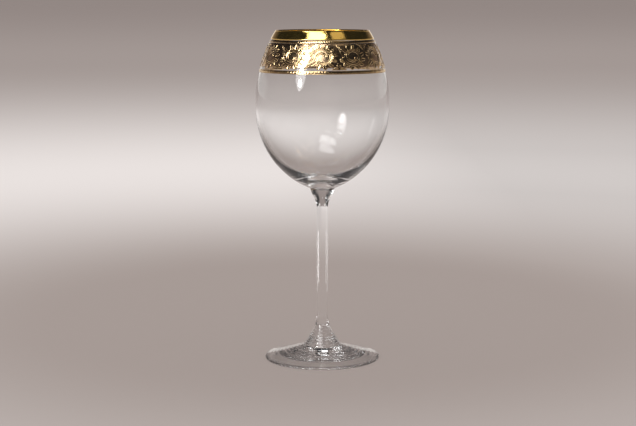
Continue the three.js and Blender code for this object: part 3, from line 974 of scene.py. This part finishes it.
def floor_material():
    """Pale floor with a painted pool of light: its tone follows the distance from the glass, as the share
    that the distance has
    in itself plus a metre: near, then a painted bright ring with painted shade on its right, then far."""
    g = settings().stage
    material, tree, shader = new_material("Studio floor")
    link = tree.links.new
    place = add_node(tree, "ShaderNodeTexCoord")
    axes = add_node(tree, "ShaderNodeSeparateXYZ")
    away = add_node(tree, "ShaderNodeVectorMath", operation="DISTANCE")
    away.inputs[1].default_value = (0, g.pool_shift, 0)
    link(place.outputs["Object"], axes.inputs["Vector"])
    link(place.outputs["Object"], away.inputs[0])
    far = away.outputs["Value"]
    farness = arithmetic(tree, "DIVIDE", far, arithmetic(tree, "ADD", far, 1.0))
    # Painted pool of light: the near tone round the foot, a bright ring, then dimmer out to the far tone at
    # the horizon.
    stops = (
        (0.0, g.near_tone),
        (0.172, g.near_tone),
        (0.51, g.painted_pool_tone),
        (0.84, g.middle_tone),
        (1.0, g.far_tone),
    )
    tones = add_ramp(tree, farness, stops)
    tones.color_ramp.interpolation = "EASE"
    # Painted shade: the bright ring is darkened to 0.78 on the right, where X runs from -0.05 to 0.25 m.
    painted_shade_tone, plain, dim_from, dim_to = (0.78, 0.78, 0.78), (1, 1, 1), -0.05, 0.25
    painted_ring_shade = add_ramp(tree, farness, ((0.25, plain), (0.45, painted_shade_tone), (0.58, painted_shade_tone), (0.8, plain)))
    dim = add_node(tree, "ShaderNodeMapRange", {"From Min": dim_from, "From Max": dim_to, "To Min": 1.0})
    link(axes.outputs["X"], dim.inputs["Value"])
    link(painted_ring_shade.outputs["Color"], dim.inputs["To Max"])
    shaded = add_node(tree, "ShaderNodeMix", {"Factor": 1.0}, data_type="RGBA", blend_type="MULTIPLY")
    link(tones.outputs["Color"], shaded.inputs["A"])
    link(dim.outputs["Result"], shaded.inputs["B"])
    link(shaded.outputs["Result"], shader.inputs["Base Color"])
    link(patches(tree, 30.0, 4.0, 0.22, 0.3), shader.inputs["Roughness"])
    shader.inputs["Specular IOR Level"].default_value = 0.0
    return material


def build_floor():
    """A flat round floor: rings whose radius grows as a power, spun about the axis."""
    reach, sides, rings, growth = settings().stage.reach, 128, 40, 4
    radii = reach * np.linspace(0, 1, rings)[1:] ** growth
    a = angles(sides)
    grid = around(radii[:, None], np.zeros((len(radii), 1)), a)
    vertices = np.vstack([grid.reshape(-1, 3), [[0, 0, 0]]])
    quads = grid_faces(len(radii), sides)[:, ::-1]
    one = np.arange(sides)
    fan = np.stack([np.full(sides, len(vertices) - 1), one, (one + 1) % sides], axis=-1)
    mesh = bpy.data.meshes.new("studio_floor")
    mesh.from_pydata(vertices.tolist(), [], quads.tolist() + fan.tolist())
    mesh.materials.append(floor_material())
    floor = add_object("studio_floor", mesh)


def build_world():
    """Even fill on dull surfaces. Camera, metal and glass see a room that is as bright as the far
    floor at the horizon and dark higher up. Through the glass the sides are dark and pale strips run
    up the walls behind it and on the camera's side. Reflections show a low bright board behind it."""
    g = settings().stage
    board_side, board_edge = (0.3, 0.5), (g.board_top * 1.4, g.board_top)
    dark_side, strip_side, strip_top = (0.35, 0.5), (0.32, 0.2), (0.75, 0.45)
    world = bpy.data.worlds.new("Studio room")
    bpy.context.scene.world = world
    world.use_nodes = True
    tree = world.node_tree
    tree.nodes.clear()
    link = tree.links.new

    def both(one, other):
        return arithmetic(tree, "MULTIPLY", one, other)

    def either(one, other):
        return arithmetic(tree, "MAXIMUM", one, other)

    place = add_node(tree, "ShaderNodeTexCoord")
    axes = add_node(tree, "ShaderNodeSeparateXYZ")
    link(place.outputs["Generated"], axes.inputs["Vector"])
    behind, up = axes.outputs["Y"], axes.outputs["Z"]
    aside = arithmetic(tree, "ABSOLUTE", axes.outputs["X"])
    path = add_node(tree, "ShaderNodeLightPath").outputs
    mirrored, passed = path["Is Glossy Ray"], path["Is Transmission Ray"]
    board = both(fade(tree, behind, *board_side), fade(tree, up, *board_edge))
    strips = both(fade(tree, aside, *strip_side), fade(tree, up, *strip_top))
    stops = ((0.0, g.far_tone), (0.15, g.far_tone), (0.40, g.ceiling_tone))
    walls = add_ramp(tree, up, stops).outputs["Color"]
    walls = laid_over(tree, walls, g.board_tone, both(mirrored, board))
    walls = laid_over(tree, walls, g.ceiling_tone, both(passed, fade(tree, aside, *dark_side)))
    walls = laid_over(tree, walls, g.back_tone, both(passed, strips))
    not_dulled = arithmetic(tree, "LESS_THAN", path["Diffuse Depth"], 0.5)
    seen = either(both(either(mirrored, passed), not_dulled), path["Is Camera Ray"])
    fill = add_node(tree, "ShaderNodeBackground", {"Color": (1, 1, 1, 1), "Strength": g.fill})
    room = add_node(tree, "ShaderNodeBackground", {"Strength": 1.0})
    link(walls, room.inputs["Color"])
    mix = add_node(tree, "ShaderNodeMixShader")
    link(seen, mix.inputs[0])
    link(fill.outputs[0], mix.inputs[1])
    link(room.outputs[0], mix.inputs[2])
    output = add_node(tree, "ShaderNodeOutputWorld")
    link(mix.outputs[0], output.inputs["Surface"])


def add_lamp(name, shape, wide, tall, brightness, place, turned):
    """An area lamp that shows in metal and glass and that the camera doesn't see. Brightness is how
    bright its face looks."""
    lamp = bpy.data.lights.new(name, "AREA")
    lamp.shape, lamp.size, lamp.size_y = shape, wide, tall
    lamp.energy = brightness * 4 * wide * tall
    holder = add_object(name, lamp)
    holder.location, holder.rotation_euler = place, turned
    holder.visible_camera = holder.visible_diffuse = False
    return lamp


def add_card(name, side, brightness):
    """A small bright card that stands beside the glass and leans back to face the stem. A grid in
    front of it, the lamp's spread, keeps its light to a narrow angle. The spread makes a lamp
    brighter by the tangent of half of it over that tangent less the half, which is taken out."""
    g = settings().stage
    half = g.card_spread / 2
    gain = math.tan(half) / (math.tan(half) - half)
    place = (side * g.card_place, 0, g.card_height * math.cos(g.card_lean) / 2)
    turned = (math.pi / 2 + g.card_lean, 0, side * math.pi / 2)
    lamp = add_lamp(name, "RECTANGLE", g.card_depth, g.card_height, brightness / gain, place, turned)
    lamp.spread = g.card_spread


def add_softbox(name, shape, azimuth, elevation, wide, tall, brightness, colour=(1, 1, 1), forward=0.0):
    """A lamp that faces the bowl. Azimuth is measured from the camera's side towards +X, and wide
    and tall are angles as seen from the bowl. Forward brings it nearer than the other softboxes."""
    g = settings().stage
    distance, aim = g.lamp_distance - forward, np.array([0, 0, g.lamp_aim])
    a, e = math.radians(azimuth), math.radians(elevation)
    out = np.array([math.cos(e) * math.sin(a), -math.cos(e) * math.cos(a), math.sin(e)])
    across, along = (2 * distance * math.tan(math.radians(angle) / 2) for angle in (wide, tall))
    turned = (math.pi / 2 - e, 0, a)
    add_lamp(name, shape, across, along, brightness, aim + out * distance, turned).color = colour


def build_stage():
    """Floor, room, cards, softboxes with bulbs in the left one, and the camera at the photograph's angle."""
    g = settings().stage
    scene = bpy.context.scene
    scene.view_settings.view_transform = "Standard"
    scene.cycles.max_bounces = 24
    scene.cycles.transmission_bounces = 24
    scene.cycles.glossy_bounces = 24
    scene.cycles.transparent_max_bounces = 64
    build_floor()
    build_world()
    add_card("card_left", -1, 16)
    add_card("card_right", 1, 6.5)
    add_softbox("softbox_left", "ELLIPSE", -40, 24, 18, 30, 2.6)
    for k in range(3):
        add_softbox(f"bulb_{k}", "ELLIPSE", -40, 14.5 + 9.5 * k, 7, 5.5, 13, forward=0.01)
    add_softbox("softbox_middle", "RECTANGLE", -23, 40, 36, 16, 4)
    add_softbox("softbox_overhead", "RECTANGLE", -18.5, 56, 30, 16, 3.6)
    add_softbox("reflector_right", "RECTANGLE", 49, 56, 22, 14, 0.5, (1.0, 0.9, 0.7))
    lens = bpy.data.cameras.new("camera")
    lens.lens = g.lens
    lens.sensor_width = 36
    lens.clip_start, lens.clip_end = 0.01, 500
    camera = add_object("camera", lens)
    camera.location = (-g.aside, -g.distance, g.height)
    camera.rotation_euler = (math.pi / 2 - g.pitch, 0, 0)
    scene.camera = camera


# Operators and panel


class WINE_GLASS_OT_bowl(Operator):
    """Build the blown bowl"""

    bl_idname = "wine_glass.bowl"
    bl_label = "Bowl"

    def execute(self, context):
        build_bowl()
        return {"FINISHED"}


class WINE_GLASS_OT_stem(Operator):
    """Build the drawn stem with its boot"""

    bl_idname = "wine_glass.stem"
    bl_label = "Stem"

    def execute(self, context):
        build_stem()
        return {"FINISHED"}


class WINE_GLASS_OT_foot(Operator):
    """Build the spun foot"""

    bl_idname = "wine_glass.foot"
    bl_label = "Foot"

    def execute(self, context):
        build_foot()
        return {"FINISHED"}


class WINE_GLASS_OT_lip_band(Operator):
    """Build the plain gilding over the lip"""

    bl_idname = "wine_glass.lip_band"
    bl_label = "Lip band"

    def execute(self, context):
        build_lip_band()
        return {"FINISHED"}


class WINE_GLASS_OT_lines(Operator):
    """Build the rope line and the bead line that border the scrollwork"""

    bl_idname = "wine_glass.lines"
    bl_label = "Rope and bead lines"

    def execute(self, context):
        build_rope_line()
        build_bead_line()
        return {"FINISHED"}


class WINE_GLASS_OT_ground(Operator):
    """Build the satin ground behind the scrollwork"""

    bl_idname = "wine_glass.ground"
    bl_label = "Satin ground"

    def execute(self, context):
        build_ground()
        return {"FINISHED"}


class WINE_GLASS_OT_scrolls(Operator):
    """Build the scrolls round the bowl"""

    bl_idname = "wine_glass.scrolls"
    bl_label = "Scrolls"

    def execute(self, context):
        build_scrolls()
        return {"FINISHED"}


class WINE_GLASS_OT_sprigs(Operator):
    """Build the leaf sprigs between the scrolls"""

    bl_idname = "wine_glass.sprigs"
    bl_label = "Sprigs"

    def execute(self, context):
        build_sprigs()
        return {"FINISHED"}


class WINE_GLASS_OT_stage(Operator):
    """Build the floor, room, lamps and camera"""

    bl_idname = "wine_glass.stage"
    bl_label = "Stage"

    def execute(self, context):
        build_stage()
        return {"FINISHED"}


OPERATORS = (
    WINE_GLASS_OT_bowl,
    WINE_GLASS_OT_stem,
    WINE_GLASS_OT_foot,
    WINE_GLASS_OT_lip_band,
    WINE_GLASS_OT_lines,
    WINE_GLASS_OT_ground,
    WINE_GLASS_OT_scrolls,
    WINE_GLASS_OT_sprigs,
    WINE_GLASS_OT_stage,
)
GROUPS = (BowlSizes, StemSizes, FootSizes, GildingSizes, ScrollSizes, StageSettings, WineGlass)


class WINE_GLASS_PT_panel(Panel):
    """Lists the pieces of the glass and their sizes"""

    bl_idname = "WINE_GLASS_PT_panel"
    bl_label = "Wine glass"
    bl_space_type = "VIEW_3D"
    bl_region_type = "UI"
    bl_category = "Wine glass"

    def draw(self, context):
        for operator in OPERATORS:
            self.layout.operator(operator.bl_idname)
        for group in ("bowl", "stem", "foot", "gilding", "scrolls", "stage"):
            sizes = getattr(context.scene.wine_glass, group)
            box = self.layout.box()
            for name in sizes.__annotations__:
                box.prop(sizes, name)


def register():
    """Registers every class and gives the scene its sizes."""
    for group in (*GROUPS, *OPERATORS, WINE_GLASS_PT_panel):
        bpy.utils.register_class(group)
    bpy.types.Scene.wine_glass = PointerProperty(type=WineGlass)


def unregister():
    """Takes the sizes and the classes out again."""
    del bpy.types.Scene.wine_glass
    for group in (WINE_GLASS_PT_panel, *OPERATORS[::-1], *GROUPS[::-1]):
        bpy.utils.unregister_class(group)


def main():
    """Registers the sizes, then builds every piece and the stage in order."""
    register()
    for operator in OPERATORS:
        group, name = operator.bl_idname.split(".")
        getattr(getattr(bpy.ops, group), name)()


if __name__ == "__main__":
    main()
